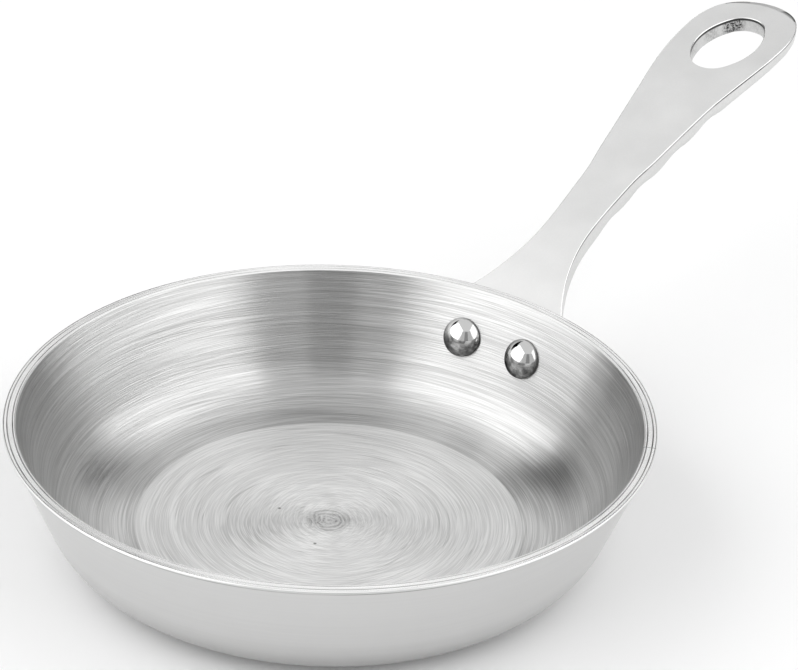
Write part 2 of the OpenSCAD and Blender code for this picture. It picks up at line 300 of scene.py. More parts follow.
def smooth(part):
    """A soft step from 0 to 1."""
    part = min(max(part, 0), 1)
    return part * part * (3 - 2 * part)


def section(i):
    """Inset, drop and whether it is measured from the underside, from the top face down."""
    x, _, t = outline[i]
    grown = smooth((t - BEVEL_FROM) / BEVEL_OVER)
    bevel, fall = PLAIN_BEVEL + TIP_BEVEL * grown, TIP_DROP * grown
    points = [(bevel + TOP_EDGE + 0.3, 0, False)]
    for part in (-0.02, 0.05, 0.95):
        points.append((bevel * (1 - part) + TOP_EDGE, fall * max(part, 0), False))
    for turn in range(90, -1, -15):
        a = radians(turn)
        points.append((TOP_EDGE * (1 - cos(a)), fall + TOP_EDGE * (1 - sin(a)), False))
    for more in (0.1, 0.25):
        points.append((0, fall + TOP_EDGE + more, False))
    flare = min(max((FLARE_START - x) / (FLARE_START - FLARE_END), 0), 1)
    spread = ROOT_SPREAD * flare ** 2
    for turn in range(0, 91, 10):
        a = radians(turn)
        points.append((UNDER_EDGE * (1 - cos(a)) - spread, UNDER_EDGE * (1 - sin(a)), True))
    points.append((UNDER_EDGE + 0.25 - spread, 0, True))
    return points


sections = [section(i) for i in range(TIP + 1)]


def skin_point(i, k, side):
    """A point of the skin, on ring k, beside outline point i."""
    inset, drop, under = sections[i][k]
    ox, oy = outward(i)
    x, y = outline[i][0] - inset * ox, outline[i][1] - inset * oy
    if i == TIP:
        y = 0
    z = top_z(x) - (depth_at(x) - drop if under else drop)
    return Vector((x, side * y, z)) * MM


print("rings in the skin:", len(sections[0]))

# %% Make a mesh from points and faces


def new_piece(name, points, faces):
    """A mesh object from points and faces, with its faces turned outward."""
    mesh = bpy.data.meshes.new(name)
    mesh.from_pydata([tuple(p) for p in points], [], faces)
    form = bmesh.new()
    form.from_mesh(mesh)
    bmesh.ops.recalc_face_normals(form, faces=form.faces)
    form.to_mesh(mesh)
    form.free()
    mesh.update()
    piece = bpy.data.objects.new(name, mesh)
    bpy.context.scene.collection.objects.link(piece)
    print(name, "has", len(points), "points and", len(faces), "faces")
    return piece


def ring_faces(rings, size):
    """Faces between closed rings that are stored one after another."""
    made = []
    for k in range(rings - 1):
        for j in range(size):
            a, b = k * size + j, k * size + (j + 1) % size
            made.append((a, b, b + size, a + size))
    return made


print("mesh helpers ready")

# %% Stack the rings of the bar
RING_COUNT = len(sections[0])
ring_size = 2 * TIP + 1
points = []
for k in range(RING_COUNT):
    points += [skin_point(i, k, 1) for i in range(TIP + 1)]
    points += [skin_point(i, k, -1) for i in range(TIP - 1, -1, -1)]
faces = [(a, d, c, b) for a, b, c, d in ring_faces(RING_COUNT, ring_size)]
for base, flip in ((0, False), ((RING_COUNT - 1) * ring_size, True)):
    for j in range(TIP):
        far = base + ring_size - 1 - j
        strip = list(dict.fromkeys([base + j, base + j + 1, far - 1, far]))
        faces.append(strip[::-1] if flip else strip)
handle = new_piece("cast_handle", points, faces)

# %% [markdown]
# ## The flange
# A flange lies on the cone of the wall and takes the rivets. A flat block would stand
# off the wall at its corners, so it is built as rings and rows bent to the cone.

# %% The flange's edge
FLANGE_FOOT, FLANGE_DROP, FLANGE_CORNER, FLANGE_EDGE = 12.2, 3.4, 5, 0.8
FLANGE_SUNK = -0.6
QUARTER_STEPS = 8


def cone_radius(z, out):
    """Radius of the surface that lies a distance outside the wall at a height."""
    return WALL_RADIUS + out / cos(WALL_LEAN) - (RIM_HEIGHT - z) * tan(WALL_LEAN)


def flange_rim_point(turn, inset, out):
    """A point of the flange's edge: a rectangle with round corners, bent to the wall."""
    half_y = ROOT_WIDTH / 2 + ROOT_SPREAD
    half_z = (RIM_HEIGHT - FLANGE_DROP - FLANGE_FOOT) / 2
    mid_z = FLANGE_FOOT + half_z
    cy, cz = cos(turn), sin(turn)
    y = (half_y - FLANGE_CORNER) * (1 if cy > 0 else -1) + (FLANGE_CORNER - inset) * cy
    z = mid_z + (half_z - FLANGE_CORNER) * (1 if cz > 0 else -1) + (FLANGE_CORNER - inset) * cz
    r = cone_radius(z, out)
    return Vector((sqrt(max(r * r - y * y, 0)), y, z))


def flange_ring(inset, out):
    """One ring round the flange, with the two ends of each corner kept apart."""
    ring = []
    for quarter in range(4):
        start, end = pi / 2 * quarter + 1e-6, pi / 2 * (quarter + 1) - 1e-6
        for s in range(QUARTER_STEPS + 1):
            turn = pi / 2 * quarter + pi / 2 * s / QUARTER_STEPS
            ring.append(flange_rim_point(min(max(turn, start), end), inset, out))
    return ring


flange_rings = [flange_ring(0, FLANGE_SUNK)]
for turn in (0, 30, 60, 90):
    a = radians(turn)
    out = FLANGE_THICK - FLANGE_EDGE * (1 - sin(a))
    flange_rings.append(flange_ring(FLANGE_EDGE * (1 - cos(a)), out))
print("flange rings:", len(flange_rings), "of", len(flange_rings[0]), "points")

# %% Close the flange
CAP_COLUMNS = 24
flange_size = len(flange_rings[0])
points = [p * MM for ring in flange_rings for p in ring]


def cap_rows(base, out):
    """Faces that close a ring with columns that follow the bend of the wall."""
    rows = []
    corner = QUARTER_STEPS + 1
    left = [base + j for j in range(corner, 3 * corner)]
    right = [base + j % flange_size for j in range(5 * corner - 1, 3 * corner - 1, -1)]
    for a, b in zip(left, right):
        start, end = points[a] / MM, points[b] / MM
        row = [a]
        for s in range(1, CAP_COLUMNS):
            y = start.y + (end.y - start.y) * s / CAP_COLUMNS
            z = start.z + (end.z - start.z) * s / CAP_COLUMNS
            r = cone_radius(z, out)
            points.append(Vector((sqrt(r * r - y * y), y, z)) * MM)
            row.append(len(points) - 1)
        rows.append(row + [b])
    made = []
    for upper, lower in zip(rows[:-1], rows[1:]):
        for s in range(CAP_COLUMNS):
            made.append((upper[s], upper[s + 1], lower[s + 1], lower[s]))
    return made


faces = ring_faces(len(flange_rings), flange_size)
faces += cap_rows((len(flange_rings) - 1) * flange_size, FLANGE_THICK)
faces += cap_rows(0, FLANGE_SUNK)
flange = new_piece("flange_blank", points, faces)

# %% [markdown]
# ## Joining and cutting
# The real handle is one casting that fits the wall without a gap. So the flange is
# joined to the bar, and the dish's outside, turned as a solid, is cut away from both.

# %% Shape with one piece, then throw it away


def shape_with(piece, tool, operation, keep=False):
    """Joins, or cuts away, another solid and keeps the result as the piece's mesh."""
    step = piece.modifiers.new("shape", "BOOLEAN")
    step.operation = operation
    step.solver = "EXACT"
    step.object = tool
    bpy.context.view_layer.update()
    graph = bpy.context.evaluated_depsgraph_get()
    made = bpy.data.meshes.new_from_object(piece.evaluated_get(graph))
    piece.modifiers.clear()
    piece.data = made
    if not keep:
        bpy.data.objects.remove(tool)
    print(piece.name, operation.lower(), "gives", len(made.polygons), "faces")


shape_with(handle, flange, "UNION")

# %% Turn a solid round the pan's axis


def turned(name, profile, sides):
    """A closed solid of revolution round +Z from (radius, height) pairs."""
    made, rows = [], []
    for r, z in profile:
        if r < 1e-6:
            made.append(Vector((0, 0, z)) * MM)
            rows.append([len(made) - 1] * sides)
        else:
            start = len(made)
            for s in range(sides):
                a = 2 * pi * s / sides
                made.append(Vector((r * cos(a), r * sin(a), z)) * MM)
            rows.append(list(range(start, start + sides)))
    eye_wall = []
    for lower, upper in zip(rows, rows[1:] + rows[:1]):
        for s in range(sides):
            t = (s + 1) % sides
            face = list(dict.fromkeys([lower[s], lower[t], upper[t], upper[s]]))
            if len(face) > 2:
                eye_wall.append(face)
    return new_piece(name, made, eye_wall)


def corner_line(depth, steps):
    """The round corner of the sheet, a depth inside it."""
    line, r = [], CORNER_RADIUS - depth
    for s in range(steps + 1):
        a = -pi / 2 + (pi / 2 - WALL_LEAN) * s / steps
        line.append((BASE_RADIUS + r * cos(a), CORNER_RADIUS + r * sin(a)))
    return line


print("turning helpers ready")

# %% Cut the dish's outside from the handle
ABOVE, BLANK_SIDES = 2, 480
blank_line = [(0, 0)] + corner_line(0, 24)
blank_line += [(WALL_RADIUS + ABOVE * tan(WALL_LEAN), RIM_HEIGHT + ABOVE), (0, RIM_HEIGHT + ABOVE)]
shape_with(handle, turned("dish_blank", blank_line, BLANK_SIDES), "DIFFERENCE")

# %% [markdown]
# ## The three layers of the sheet
# The sheet is steel, aluminium and steel, bonded before it is pressed. Each layer is
# turned here as its own closed solid. At the ground rim, a fine V follows each joint,
# because the polishing wheel wears the soft core a little more than the steel.

# %% Lines inside the sheet
FLOOR_FINISH = 42.4
FLOOR_RINGS = (0, 1, 3, 6, 10, 16, 24, 32, FLOOR_FINISH, BASE_RADIUS - 2)
CORNER_STEPS, WALL_STEPS = 32, 8


def sheet_line(depth, top):
    """Points of a layer's surface from the pan's centre to a height near the rim."""
    line = [(r, depth) for r in FLOOR_RINGS] + corner_line(depth, CORNER_STEPS)
    first_r, first_z = line[-1]
    for s in range(1, WALL_STEPS + 1):
        z = first_z + (top - first_z) * s / WALL_STEPS
        line.append((first_r + (z - first_z) * tan(WALL_LEAN), z))
    return line


def rim_at(depth, below=0.0):
    """Radius of a surface inside the sheet, a little below the rim."""
    return WALL_RADIUS - depth / cos(WALL_LEAN) - below * tan(WALL_LEAN)


print("rim is", round(RIM_RADIUS - rim_at(SHEET), 2), "mm wide")

# %% The inner steel and the core
JOINT_DEPTH, JOINT_HALF = 0.16, 0.12
EDGE_BEVEL, EDGE_ROUND = 0.25, 0.08
joint_z = RIM_HEIGHT - JOINT_DEPTH
inner_loop = sheet_line(SHEET, RIM_HEIGHT - EDGE_BEVEL * cos(WALL_LEAN))
inner_loop += [(rim_at(SHEET) + EDGE_ROUND, RIM_HEIGHT - EDGE_ROUND)]
inner_loop += [(rim_at(SHEET) + EDGE_BEVEL, RIM_HEIGHT)]
inner_loop += [(rim_at(INNER_JOINT) - JOINT_HALF, RIM_HEIGHT)]
inner_loop += sheet_line(INNER_JOINT, joint_z)[::-1]
core_loop = sheet_line(INNER_JOINT, joint_z)
core_loop += [(rim_at(INNER_JOINT) + JOINT_HALF, RIM_HEIGHT)]
core_loop += [(rim_at(OUTER_JOINT) - JOINT_HALF, RIM_HEIGHT)]
core_loop += sheet_line(OUTER_JOINT, joint_z)[::-1]
print("points in the section:", len(inner_loop), "inside and", len(core_loop), "in the core")

# %% The outer steel, with its rolled lip
BEAD, BEAD_STEPS, BEAD_INSET = 0.38, 28, 0.02
bead_r, bead_z = RIM_RADIUS - BEAD - BEAD_INSET, RIM_HEIGHT - BEAD
off = (bead_r - WALL_RADIUS) * cos(WALL_LEAN) + BEAD * sin(WALL_LEAN)
foot = atan2(-cos(WALL_LEAN), -sin(WALL_LEAN)) + asin(-off / BEAD)
bead = []
for s in range(BEAD_STEPS + 1):
    a = pi / 2 + (foot - pi / 2) * s / BEAD_STEPS
    bead.append((bead_r + BEAD * cos(a), bead_z + BEAD * sin(a)))
outer_loop = sheet_line(OUTER_JOINT, joint_z)
outer_loop += [(rim_at(OUTER_JOINT) + JOINT_HALF, RIM_HEIGHT)] + bead[:-1]
outer_loop += sheet_line(0, bead[-1][1])[::-1]
print("lip ends", round(RIM_HEIGHT - bead[-1][1], 2), "mm below the rim")

# %% Turn the layers
TURN_SIDES = 360
layers = {
    "cooking_face": turned("cooking_face", inner_loop, TURN_SIDES),
    "core_layer": turned("core_layer", core_loop, TURN_SIDES),
    "outside_layer": turned("outside_layer", outer_loop, TURN_SIDES),
}

# %% [markdown]
# ## The rivets
# A rivet is a polished dome inside the pan, a shank through the sheet and the flange,
# and a head formed behind. It is turned in one piece round its own axis, set square
# to the wall, and trimmed where its flat would cut into the curved wall.

# %% The rivet's section
HEAD, HEAD_EDGE, HEAD_DOME, HEAD_ROUND = 9.2, 0.7, 2.6, 0.28
SHANK, TAIL, TAIL_DOME, TAIL_SEAT = 5, 8.2, 1.7, 0.4
GRIP = SHEET + FLANGE_THICK - TAIL_SEAT


def dome(radius, base, rise, steps):
    """Half section of part of a ball, from its edge to its middle."""
    ball = (radius ** 2 + rise ** 2) / 2 / rise
    line = []
    for s in range(steps + 1):
        a = asin(radius / ball) * (1 - s / steps)
        line.append((ball * sin(a), base + rise - ball + ball * cos(a)))
    return line


def soften(line, index, size, steps=5):
    """Rounds one corner of a section."""
    a, b, c = (Vector(line[i]) for i in (index - 1, index, index + 1))
    p, q = b + (a - b).normalized() * size, b + (c - b).normalized() * size
    arc = []
    for s in range(steps + 1):
        t = s / steps
        arc.append(tuple(p * (1 - t) ** 2 + b * 2 * t * (1 - t) + q * t ** 2))
    return line[:index] + arc + line[index + 1:]


crown = [(r, -z) for r, z in dome(HEAD / 2, HEAD_EDGE, HEAD_DOME, 24)[1:]]
head = soften([(HEAD / 2, 0), (HEAD / 2, -HEAD_EDGE)] + crown, 1, HEAD_ROUND)
tail = [(SHANK / 2, 0), (SHANK / 2, GRIP)] + dome(TAIL / 2, GRIP, TAIL_DOME, 18)
print("rivet is", round(HEAD_EDGE + HEAD_DOME + GRIP + TAIL_DOME, 1), "mm long")

# %% Where a rivet stands
RIVET_SPACING, RIVET_DROP = 16.9, 11
rivet_radius = rim_at(SHEET, RIVET_DROP)
rivet_turn = asin(RIVET_SPACING / 2 / rivet_radius)


def rivet_place(side):
    """The rivet's axis, square to the wall, on the left (1) or the right (-1)."""
    turn = Matrix.Rotation(side * rivet_turn, 4, "Z")
    place = Matrix.Translation(Vector((rivet_radius, 0, RIM_HEIGHT - RIVET_DROP)) * MM)
    return turn @ place @ Matrix.Rotation(pi / 2 + WALL_LEAN, 4, "Y")


def pin(name, side, radius, low, high, sides=64):
    """A plain round tool on a rivet's axis."""
    tool = turned(name, [(0, low), (radius, low), (radius, high), (0, high)], sides)
    tool.data.transform(rivet_place(side))
    return tool


print("rivets at a turn of", round(degrees(rivet_turn), 2), "degrees each side")

# %% Drill the holes and set the rivets
SHANK_ROOM, SEAT_ROOM, RIVET_SIDES = 0.05, 0.3, 96
SHARP = radians(24)
hole = SHANK / 2 + SHANK_ROOM
rivets = {}
for name, side in (("left", 1), ("right", -1)):
    for piece in layers.values():
        shape_with(piece, pin("hole", side, hole, -2, SHEET + 2), "DIFFERENCE")
    shape_with(handle, pin("hole", side, hole, 0, GRIP + 1), "DIFFERENCE")
    shape_with(handle, pin("seat", side, TAIL / 2 + SEAT_ROOM, GRIP, GRIP + 4), "DIFFERENCE")
    rivet = turned("rivet_" + name + "_polished", head[::-1] + tail, RIVET_SIDES)
    rivet.data.transform(rivet_place(side))
    shape_with(rivet, layers["cooking_face"], "DIFFERENCE", keep=True)
    rivets[name] = rivet
for piece in list(layers.values()) + list(rivets.values()):
    piece.data.shade_smooth()
    piece.data.set_sharp_from_angle(angle=SHARP)
print("rivets set:", sorted(rivets))

# %% [markdown]
# ## The hanging eye
# The eye is an oval of four arcs that touch, cut square to the handle's top face. The
# tool that cuts it widens by a small round at the top and at the underside, so the cut
# leaves the broken edges that catch the light on the real one.

# %% The eye's outline
EYE_X = TIP_X - 21.5
EYE_LENGTH, EYE_WIDTH, EYE_END = 25.6, 15.9, 5.8
ARC_STEPS = 16
end_place = EYE_LENGTH / 2 - EYE_END
side_radius = ((EYE_WIDTH / 2) ** 2 + end_place ** 2 - EYE_END ** 2) / (EYE_WIDTH - 2 * EYE_END)
side_place = side_radius - EYE_WIDTH / 2
end_turn = atan2(side_place, end_place)


def oval(grow):
    """The eye's outline, widened by a little."""
    line = []
    for sx, sy, turned_back in ((1, 1, True), (1, -1, False), (-1, -1, True), (-1, 1, False)):
        arc = []
        for s in range(ARC_STEPS + 1):
            a = end_turn * s / ARC_STEPS
            arc.append((end_place + (EYE_END + grow) * cos(a), (EYE_END + grow) * sin(a)))
        for s in range(1, ARC_STEPS + 1):
            a = end_turn + (pi / 2 - end_turn) * s / ARC_STEPS
            y = (side_radius + grow) * sin(a) - side_place
            arc.append(((side_radius + grow) * cos(a), y))
        arc = [(sx * x, sy * y) for x, y in arc]
        line += (arc[::-1] if turned_back else arc)[:-1]
    return line


print("eye outline:", len(oval(0)), "points")

# %% Build the eye's tool and cut
EYE_BREAK, CAST_SHARP = 0.3, radians(30)
THIN_RATE = (ROOT_THICK - EYE_THICK) / (WIDEST_X - RIM_RADIUS)
eye_thick = ROOT_THICK - THIN_RATE * (EYE_X - RIM_RADIUS)
eye_middle = Matrix.Translation(Vector((EYE_X, 0, top_z(EYE_X))) * MM)
tilt = eye_middle @ Matrix.Rotation(-EYE_SLOPE, 4, "Y")
untilt = tilt.inverted()

steps = [(3.0, EYE_BREAK, False), (0.0, EYE_BREAK, False)]
for turn in range(18, 91, 18):
    a = radians(turn)
    steps.append((-EYE_BREAK * (1 - cos(a)), EYE_BREAK * (1 - sin(a)), False))
steps += [(-0.75, 0.0, False), (-0.9, 0.0, False)]
for turn in range(0, 91, 18):
    a = radians(90 - turn)
    steps.append((EYE_BREAK * (1 - cos(a)), EYE_BREAK * (1 - sin(a)), True))
steps.append((-6.0, EYE_BREAK, True))
points = []
for height, grow, under in steps:
    for x, y in oval(grow):
        z = height - (eye_thick - THIN_RATE * x if under else 0)
        points.append(tilt @ (Vector((x, y, z)) * MM))
count = len(oval(0))
faces = [tuple(range(count)), tuple(range(len(points) - count, len(points)))]
faces += ring_faces(len(steps), count)
shape_with(handle, new_piece("eye_tool", points, faces), "DIFFERENCE")
handle.data.shade_smooth()
handle.data.set_sharp_from_angle(angle=CAST_SHARP)

# %% [markdown]
# ## True normals on the ground face
# The handle's top bends only along its length, so its direction at every point is
# known exactly. Giving that direction to the top's corners keeps the reflections
# clean round the eye, where the cut left long thin faces.

# %% Set the top face's normals
ON_TOP, TOP_TILT = 0.012, radians(32)
mesh = handle.data
normals = [Vector(n.vector) for n in mesh.corner_normals]
drops = [top_z(v.co.x / MM) - v.co.z / MM for v in mesh.vertices]
exact = 0
for face in mesh.polygons:
    slope = slope_at(face.center.x / MM)
    if face.normal.angle(Vector((-sin(slope), 0, cos(slope)))) > TOP_TILT:
        continue
    for corner in face.loop_indices:
        vertex = mesh.loops[corner].vertex_index
        if abs(drops[vertex]) < ON_TOP:
            slope = slope_at(mesh.vertices[vertex].co.x / MM)
            normals[corner] = Vector((-sin(slope), 0, cos(slope)))
            exact += 1
mesh.normals_split_custom_set(normals)
print("corners with exact normals:", exact)

# %% [markdown]
# ## Wear, painted shade and the eye's wall
# Three shares are kept on the handle's points: how much the top's round edge is rubbed
# bright by hands, where a fine line of painted shade lies under that edge and at the top
# of the eye's wall, and where the eye's wall is darkened. The material reads them by name.

# %% Mark the rubbed edge and the eye's wall
NEAR_EYE, RUB_FADE = 0.05, 6


def on_oval(place):
    """How far a point lies off the eye's wall, in millimetres."""
    p = untilt @ place / MM
    x, y = abs(p.x), abs(p.y)
    if x * (side_radius - EYE_END) > side_radius * end_place:
        return sqrt((x - end_place) ** 2 + y ** 2) - EYE_END
    return sqrt(x ** 2 + (y + side_place) ** 2) - side_radius


rubbed_edge = mesh.attributes.new("rubbed_edge", "FLOAT", "POINT")
eye_wall_share = mesh.attributes.new("eye_wall_share", "FLOAT", "POINT")
edge_shade_line = mesh.attributes.new("edge_shade_line", "FLOAT", "POINT")
for vertex, drop in zip(mesh.vertices, drops):
    x = vertex.co.x / MM
    by_eye = abs(on_oval(vertex.co)) < NEAR_EYE
    on_round = 0.01 < drop < TOP_EDGE + 0.02 and x > RIM_RADIUS - 2 and not by_eye
    # The next two lines mark a line of painted shade, under the top edge and atop the eye's wall.
    under_edge = 0.14 < drop < TOP_EDGE + 0.2 and x > RIM_RADIUS + 8 and not by_eye
    eye_edge = by_eye and 0.2 < drop < 0.85
    faded = 1 - smooth((x - WIDEST_X) / RUB_FADE - 1)
    rubbed_edge.data[vertex.index].value = faded if on_round else 0
    edge_shade_line.data[vertex.index].value = 1 if under_edge or eye_edge else 0
    eye_wall_share.data[vertex.index].value = 1 if by_eye and drop > 0.15 else 0
print("rubbed points:", sum(1 for d in rubbed_edge.data if d.value > 0))
print("eye wall points:", sum(1 for d in eye_wall_share.data if d.value > 0))

# %% [markdown]
# ## A helper for wiring nodes
# A finish is a web of small nodes. Written out one by one they hide what they are for,
# so a helper adds a node, feeds its inputs and hands back its output in one call.

# %% Add and link nodes


class Wiring:
    """Adds nodes to a tree and links them, with the settings as words."""

    def __init__(self, tree):
        self.tree = tree

    def feed(self, node, inputs):
        """Links each input to another node's output, or sets it to a plain value."""
        for name, value in inputs.items():
            if isinstance(value, bpy.types.NodeSocket):
                self.tree.links.new(value, node.inputs[name])
            else:
                node.inputs[name].default_value = value

    def add(self, kind, inputs=None, **settings):
        node = self.tree.nodes.new(kind)
        for name, value in settings.items():
            setattr(node, name, value)
        self.feed(node, inputs or {})
        return node

    def math(self, operation, *values):
        inputs = dict(enumerate(values))
        return self.add("ShaderNodeMath", inputs, operation=operation).outputs[0]

    def times(self, a, b):
        return self.math("MULTIPLY", a, b)

    def larger(self, a, b):
        return self.math("MAXIMUM", a, b)

    def plus(self, base, value, share):
        """The base with a share of a value added to it."""
        return self.math("MULTIPLY_ADD", value, share, base)

    def off(self, value, middle):
        """How far a value lies from a middle."""
        return self.math("ABSOLUTE", self.math("SUBTRACT", value, middle))

    def noise(self, vector, scale, detail=2.0, rough=0.5):
        inputs = {"Vector": vector, "Scale": scale, "Detail": detail, "Roughness": rough}
        return self.add("ShaderNodeTexNoise", inputs).outputs["Fac"]

    def spread(self, value, low, high, to_low=0.0, to_high=1.0):
        """Stretches a range of values over another range, and stops at its ends."""
        inputs = {"Value": value, "From Min": low, "From Max": high}
        inputs.update({"To Min": to_low, "To Max": to_high})
        return self.add("ShaderNodeMapRange", inputs).outputs[0]

    def mix(self, share, a, b):
        return self.add("ShaderNodeMix", {0: share, 6: a, 7: b}, data_type="RGBA").outputs[2]

    def parts(self, place):
        """The place's x, y and z, and its distance from the pan's axis."""
        x, y, z = self.add("ShaderNodeSeparateXYZ", {0: place}).outputs
        square = self.math("ADD", self.times(x, x), self.times(y, y))
        return x, y, z, self.math("SQRT", square)

    def facing_up(self):
        """How far the surface faces up, from -1 to 1."""
        normal = self.add("ShaderNodeTexCoord").outputs["Normal"]
        return self.add("ShaderNodeSeparateXYZ", {0: normal}).outputs[2]

    def group(self, tree, **inputs):
        return self.add("ShaderNodeGroup", inputs, node_tree=tree).outputs


FLOAT, VECTOR = "NodeSocketFloat", "NodeSocketVector"


def new_group(name, inputs, outputs):
    """An empty node group with named inputs and outputs."""
    group = bpy.data.node_groups.new(name, "ShaderNodeTree")
    for label, kind, value in inputs:
        socket = group.interface.new_socket(label, in_out="INPUT", socket_type=kind)
        if value is not None:
            socket.default_value = value
    for label in outputs:
        group.interface.new_socket(label, in_out="OUTPUT", socket_type=FLOAT)
    wires = Wiring(group)
    return group, wires, wires.add("NodeGroupInput").outputs, wires.add("NodeGroupOutput")


print("wiring helper ready")

# %% [markdown]
# ## Shared effect: rings left by turning
# A turning tool and an abrasive pad leave long thin arcs round the pan's axis. A painted
# picture of them would blur close by, so noise is squeezed across the rings and
# stretched along them, into fine marks, dark lines, scratches and broad bands.

# %% Noise that runs round the axis


def ring_space(w, place, per_metre, arc):
    """Noise space stretched round the axis: fine across the rings, long along them."""
    x, y, z, radius = w.parts(place)
    safe = w.larger(radius, 0.0002)
    across = w.times(w.math("ADD", radius, z), per_metre)
    along_x = w.times(w.math("DIVIDE", x, safe), arc)
    along_y = w.times(w.math("DIVIDE", y, safe), arc)
    return w.add("ShaderNodeCombineXYZ", {0: across, 1: along_x, 2: along_y}).outputs[0]


turned_rings, w, given, out = new_group(
    "turned rings",
    [("Place", VECTOR, None), ("Shift", VECTOR, None)]
    + [("Fineness", FLOAT, 1.0), ("Arc", FLOAT, 1.0)],
    ["Marks", "Lines", "Scratches", "Bands"],
)
shifted = {0: given["Place"], 1: given["Shift"]}
place = w.add("ShaderNodeVectorMath", shifted, operation="ADD").outputs[0]


def ring_noise(per_metre, arc, detail, rough=0.5):
    """Noise in ring space, so many marks to the metre and so short along the arc."""
    per_metre, arc = w.times(given["Fineness"], per_metre), w.times(given["Arc"], arc)
    return w.noise(ring_space(w, place, per_metre, arc), 1.0, detail, rough)


print("ring noise ready, with inputs", sorted(given.keys()))

# %% Fine marks and separate lines
patches = ring_noise(170, 2.4, 1.0)
marks = w.times(ring_noise(3000, 2.6, 1.0, 0.6), 0.6)
marks = w.math("ADD", marks, w.times(ring_noise(1700, 1.7, 1.0), 0.4))
strength = w.spread(patches, 0.35, 0.65, 0.45, 1.0)
marks = w.math("MULTIPLY_ADD", w.math("SUBTRACT", marks, 0.5), strength, 0.5)
line = w.spread(w.off(ring_noise(1250, 1.5, 1.0), 0.5), 0.02, 0.09, 1.0, 0.0)
line = w.times(line, w.spread(patches, 0.35, 0.6, 0.45, 1.0))
w.feed(out, {"Marks": w.spread(marks, 0.33, 0.67), "Lines": line})
print("fine marks:", len(turned_rings.nodes), "nodes so far")

# %% Rare scratches and broad bands
scratch = w.spread(w.off(ring_noise(900, 0.9, 1.0), 0.5), 0.0, 0.035, 1.0, 0.0)
scratch = w.times(scratch, w.spread(ring_noise(150, 1.8, 0.0), 0.48, 0.66))
bands = w.spread(ring_noise(130, 0.7, 2.0), 0.3, 0.7)
w.feed(out, {"Scratches": scratch, "Bands": bands})
print("turned rings:", len(turned_rings.nodes), "nodes")

# %% [markdown]
# ## Shared effect: grain of a blasted casting
# Blasting with grit leaves an even, dull grain, with faint clouds where the nozzle
# stayed longer. Two noises of very different size give both, and the rivets use the
# same group, much finer.

# %% Grain and clouds
blasted_grain, w, given, out = new_group(
    "blasted grain", [("Place", VECTOR, None), ("Size", FLOAT, 1.0)], ["Grain", "Clouds"]
)
size = w.math("DIVIDE", 1.0, given["Size"])
grain = w.noise(given["Place"], w.times(size, 2600.0), 3.0, 0.6)
clouds = w.noise(given["Place"], w.times(size, 90.0), 3.0, 0.55)
w.feed(out, {"Grain": w.spread(grain, 0.3, 0.7), "Clouds": w.spread(clouds, 0.3, 0.7)})
print("blasted grain:", len(blasted_grain.nodes), "nodes")

# %% [markdown]
# ## Finishes: how a material starts
# Steel and aluminium are all metal, so their look comes from a grey, from roughness and
# from the way the marks run. Every finish starts from one plain shader, and only what
# changes over the surface is wired to it.

# %% Start of a material
# A near-black grey, used both for real marks and for painted shade.
DIRT_AND_SHADE_GREY = 0.10


def emptied(owner):
    """A wiring helper for a material or a world, whose own nodes are taken out."""
    owner.use_nodes = True
    owner.node_tree.nodes.clear()
    return Wiring(owner.node_tree)


def new_material(name):
    """A material with one plain shader, its wiring helper and the place on the piece."""
    material = bpy.data.materials.new(name)
    w = emptied(material)
    shader = w.add("ShaderNodeBsdfPrincipled")
    w.add("ShaderNodeOutputMaterial", {"Surface": shader.outputs[0]})
    return material, w, shader, w.add("ShaderNodeTexCoord").outputs["Object"]


def grey(value):
    """A grey that is a touch warm, as steel is."""
    return (value, value, value * 0.995, 1.0)


def wire(w, shader, **links):
    """Links or sets shader sockets, whose names are written with underscores."""
    w.feed(shader, {name.replace("_", " "): value for name, value in links.items()})
    print("wired a finish of", len(w.tree.nodes), "nodes")


def spot(w, place, centre, inner, outer):
    """A soft round mark on the face, 1 in its middle."""
    middle = tuple(c * MM for c in centre)
    gap = w.add("ShaderNodeVectorMath", {0: place, 1: middle}, operation="DISTANCE")
    return w.spread(gap.outputs["Value"], inner * MM, outer * MM, 1.0, 0.0)


print("material helpers ready")

# %% [markdown]
# ## The cooking face
# The inside is turned and rubbed with a pad, which leaves three families of arcs that
# cross, a few deep rings in the middle, a rubbed patch and small pits. The steel is
# stretched along the marks, which turns mirrored lamps and cards into the bright and
# dark fans of a turned dish. One function makes both steels, because the flat floor is
# only rougher and paler than the wall.

# %% The streaks
GROOVE_STEP = 0.92 * MM


def streaks(w, radius, true, left, right):
    """Pale and dark streaks from three families of rings that cross."""
    marks = w.plus(w.times(true["Marks"], 0.4), left["Marks"], 0.32)
    marks = w.spread(w.plus(marks, right["Marks"], 0.28), 0.27, 0.73)
    for rings, share in ((true, -0.45), (left, -0.35), (right, 0.45)):
        marks = w.plus(marks, rings["Lines"], share)
    groove = w.math("SINE", w.plus(w.times(right["Bands"], 9.0), radius, 2 * pi / GROOVE_STEP))
    groove = w.times(groove, w.spread(true["Bands"], 0.2, 0.8, 0.02, 0.12))
    return w.math("ADD", marks, groove)


print("feed of the tool:", GROOVE_STEP / MM, "mm a turn")

# %% The dark marks
SWIRL_STEP, SWIRL_FROM, SWIRL_TO = 1.1 * MM, 4.0 * MM, 5.4 * MM
RUBBED = (-14.0, 9.5, 2.2)
PITS = ((11.79, 63.48, 21.54), (-3.0, 11.5, 2.2), (-9.5, -3.4, 2.2))


